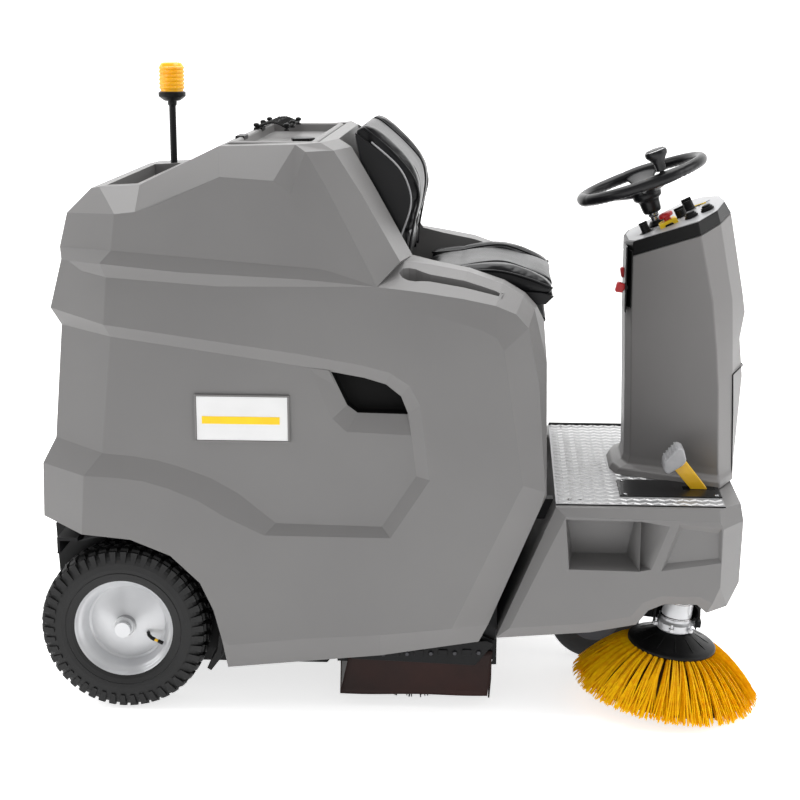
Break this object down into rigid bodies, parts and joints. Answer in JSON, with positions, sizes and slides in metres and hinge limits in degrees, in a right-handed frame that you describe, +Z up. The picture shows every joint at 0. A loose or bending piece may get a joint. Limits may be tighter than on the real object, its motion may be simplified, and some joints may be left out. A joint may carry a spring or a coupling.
{
  "type": "ride-on sweeper",
  "caption": "Ride-on vacuum sweeper with a moulded hood, driver seat, steering column, roller brush, tilted side brush and rear waste container.",
  "frame": {"origin": "centre of the footprint on the floor", "axes": "+X forward, +Y to the left of the driver, +Z up"},
  "size_m": [1.7454, 0.9647, 1.5392],
  "materials": {
    "grey_shell": "textured rotomoulded polyethylene",
    "column_grey": "fine textured moulding",
    "tread_plate": "rolled tread pattern",
    "panel_silver": "satin",
    "frame_black": "powder coated",
    "black_plastic": "satin",
    "tyre": "moulded, with a block tread",
    "zinc": "galvanised",
    "steel": "machined",
    "flap_rubber": "dull, moulded",
    "seat_vinyl": "grained vinyl",
    "roller_fibre": "coarse nylon bristles",
    "yellow_bristle": "crimped polypropylene bristles",
    "yellow_paint": "satin",
    "yellow_plastic": "gloss",
    "red_plastic": "gloss",
    "amber_lens": "ribbed, translucent",
    "filter_paper": "pleated",
    "net_cord": "braided elastic"
  },
  "bodies": {
    "machine": {"chassis": "frame_black", "rear_hood": "grey_shell", "front_body": "grey_shell", "footplate": "tread_plate", "column_shell": "column_grey", "column_cover": "column_grey", "control_panel": "panel_silver", "air_filter": "filter_paper", "suction_fan": "black_plastic", "inner_fenders": "black_plastic", "mud_flaps": "flap_rubber", "rear_axles": "steel", "wheel_bearings": "steel", "steering_bearing": "steel", "battery_pack": "black_plastic", "brush_tunnel": "frame_black", "sealing_strips": "flap_rubber", "flap_brackets": "frame_black", "pedal_plate": "black_plastic", "stop_switch_base": "yellow_plastic", "beacon_pole": "black_plastic", "beacon_base": "black_plastic", "beacon_lens": "amber_lens", "panel_screws": "steel"},
    "wheel_right": {"rear_tyre_right": "tyre", "rear_rim_right": "zinc"},
    "wheel_left": {"rear_tyre_left": "tyre", "rear_rim_left": "zinc"},
    "fork": {"front_fork": "frame_black"},
    "drive_wheel": {"front_tyre": "tyre", "hub_motor": "steel"},
    "steering": {"steering_shaft": "steel", "steering_wheel": "black_plastic"},
    "spinner": {"spinner_knob": "black_plastic"},
    "seat_base": {"seat_plate": "frame_black", "seat_rails": "steel"},
    "seat": {"seat_shell": "black_plastic", "seat_cushion": "seat_vinyl", "seat_backrest": "seat_vinyl"},
    "lid": {"filter_lid": "grey_shell", "luggage_net": "net_cord"},
    "container": {"waste_container": "black_plastic"},
    "roller_frame": {"roller_arms": "frame_black"},
    "roller": {"roller_core": "steel", "roller_bristles": "roller_fibre"},
    "front_flap": {"debris_flap": "flap_rubber"},
    "side_arm": {"side_brush_arm": "frame_black", "side_brush_motor": "black_plastic"},
    "side_brush": {"side_brush_dish": "black_plastic", "side_brush_bristles": "yellow_bristle"},
    "accelerator": {"drive_pedal": "yellow_paint"},
    "flap_foot": {"flap_pedal": "black_plastic"},
    "stop": {"stop_button": "red_plastic"},
    "program": {"program_knob": "black_plastic"},
    "fan_speed": {"fan_knob": "black_plastic"},
    "key": {"key_switch": "black_plastic"},
    "horn": {"horn_button": "black_plastic"},
    "shaker": {"shaker_button": "black_plastic"},
    "roller_handle": {"roller_lever": "red_plastic"},
    "brush_handle": {"brush_lever": "red_plastic"}
  },
  "joints": [
    {"name": "wheel_right_spin", "type": "hinge", "parent": "machine", "child": "wheel_right", "pos_m": [-0.66569, -0.36565, 0.207], "axis": [0, 1, 0], "continuous": true},
    {"name": "wheel_left_spin", "type": "hinge", "parent": "machine", "child": "wheel_left", "pos_m": [-0.66569, 0.41035, 0.207], "axis": [0, 1, 0], "continuous": true},
    {"name": "fork_steer", "type": "hinge", "parent": "machine", "child": "fork", "pos_m": [0.49431, 0.02235, 0.3], "axis": [0, 0, 1], "range_deg": [-45, 45]},
    {"name": "drive_wheel_spin", "type": "hinge", "parent": "fork", "child": "drive_wheel", "pos_m": [0.49431, 0.02235, 0.12], "axis": [0, 1, 0], "continuous": true},
    {"name": "steering_turn", "type": "hinge", "parent": "machine", "child": "steering", "pos_m": [0.58431, 0.02235, 1.262], "axis": [-0.342, 0, 0.9397], "range_deg": [-180, 180]},
    {"name": "spinner_spin", "type": "hinge", "parent": "steering", "child": "spinner", "pos_m": [0.61294, -0.12492, 1.31499], "axis": [-0.342, 0, 0.9397], "continuous": true},
    {"name": "seat_tilt", "type": "hinge", "parent": "machine", "child": "seat_base", "pos_m": [0.34031, 0.02235, 0.947], "axis": [0, 1, 0], "range_deg": [0, 40]},
    {"name": "seat_slide", "type": "slide", "parent": "seat_base", "child": "seat", "axis": [1, 0, 0], "range_m": [-0.01, 0.06]},
    {"name": "lid_open", "type": "hinge", "parent": "machine", "child": "lid", "pos_m": [-0.40569, 0.02235, 1.378], "axis": [0, 1, 0], "range_deg": [-95, 0]},
    {"name": "container_pull", "type": "slide", "parent": "machine", "child": "container", "axis": [-1, 0, 0], "range_m": [0, 0.5]},
    {"name": "roller_lift", "type": "hinge", "parent": "machine", "child": "roller_frame", "pos_m": [0.19431, 0.02235, 0.285], "axis": [0, 1, 0], "range_deg": [0, 10]},
    {"name": "roller_spin", "type": "hinge", "parent": "roller_frame", "child": "roller", "pos_m": [0.03431, 0.02235, 0.142], "axis": [0, 1, 0], "continuous": true},
    {"name": "debris_flap_swing", "type": "hinge", "parent": "machine", "child": "front_flap", "pos_m": [0.22331, 0.02235, 0.122], "axis": [0, 1, 0], "range_deg": [-35, 0]},
    {"name": "side_brush_lift", "type": "hinge", "parent": "machine", "child": "side_arm", "pos_m": [0.45431, -0.26765, 0.335], "axis": [0, 1, 0], "range_deg": [-10, 0]},
    {"name": "side_brush_spin", "type": "hinge", "parent": "side_arm", "child": "side_brush", "pos_m": [0.65631, -0.26465, 0.038], "axis": [0.1217, -0.0523, 0.9912], "continuous": true},
    {"name": "drive_pedal_press", "type": "hinge", "parent": "machine", "child": "accelerator", "pos_m": [0.73231, -0.22965, 0.508], "axis": [0, 1, 0], "range_deg": [0, 16], "stiffness_Nm_per_rad": 6, "springref_deg": -5.73},
    {"name": "flap_pedal_press", "type": "hinge", "parent": "machine", "child": "flap_foot", "pos_m": [0.73231, 0.27435, 0.508], "axis": [0, 1, 0], "range_deg": [0, 15]},
    {"name": "stop_press", "type": "slide", "parent": "machine", "child": "stop", "axis": [-0.4384, 0, 0.8988], "range_m": [-0.004, 0], "stiffness_N_per_m": 800, "springref_m": 0.001},
    {"name": "program_turn", "type": "hinge", "parent": "machine", "child": "program", "pos_m": [0.70931, 0.04035, 1.19101], "axis": [-0.4384, 0, 0.8988], "range_deg": [-120, 120]},
    {"name": "fan_turn", "type": "hinge", "parent": "machine", "child": "fan_speed", "pos_m": [0.68431, -0.01165, 1.17882], "axis": [-0.4384, 0, 0.8988], "range_deg": [-135, 135]},
    {"name": "key_turn", "type": "hinge", "parent": "machine", "child": "key", "pos_m": [0.59631, -0.02965, 1.1359], "axis": [-0.4384, 0, 0.8988], "range_deg": [-90, 0]},
    {"name": "horn_press", "type": "slide", "parent": "machine", "child": "horn", "axis": [-0.4384, 0, 0.8988], "range_m": [-0.003, 0], "stiffness_N_per_m": 500, "springref_m": 0.001},
    {"name": "shaker_press", "type": "slide", "parent": "machine", "child": "shaker", "axis": [-0.4384, 0, 0.8988], "range_m": [-0.003, 0], "stiffness_N_per_m": 500, "springref_m": 0.001},
    {"name": "roller_lever_lift", "type": "hinge", "parent": "machine", "child": "roller_handle", "pos_m": [0.57431, -0.02165, 1.047], "axis": [0, 1, 0], "range_deg": [0, 25]},
    {"name": "brush_lever_lift", "type": "hinge", "parent": "machine", "child": "brush_handle", "pos_m": [0.57431, -0.06165, 1.007], "axis": [0, 1, 0], "range_deg": [0, 25]}
  ],
  "couplings": [
    {"joint": "steering_turn", "follows": "fork_steer", "ratio": 4},
    {"joint": "flap_pedal_press", "follows": "debris_flap_swing", "ratio": -0.4285},
    {"joint": "roller_lever_lift", "follows": "roller_lift", "ratio": 2.5},
    {"joint": "brush_lever_lift", "follows": "side_brush_lift", "ratio": -2.5}
  ]
}
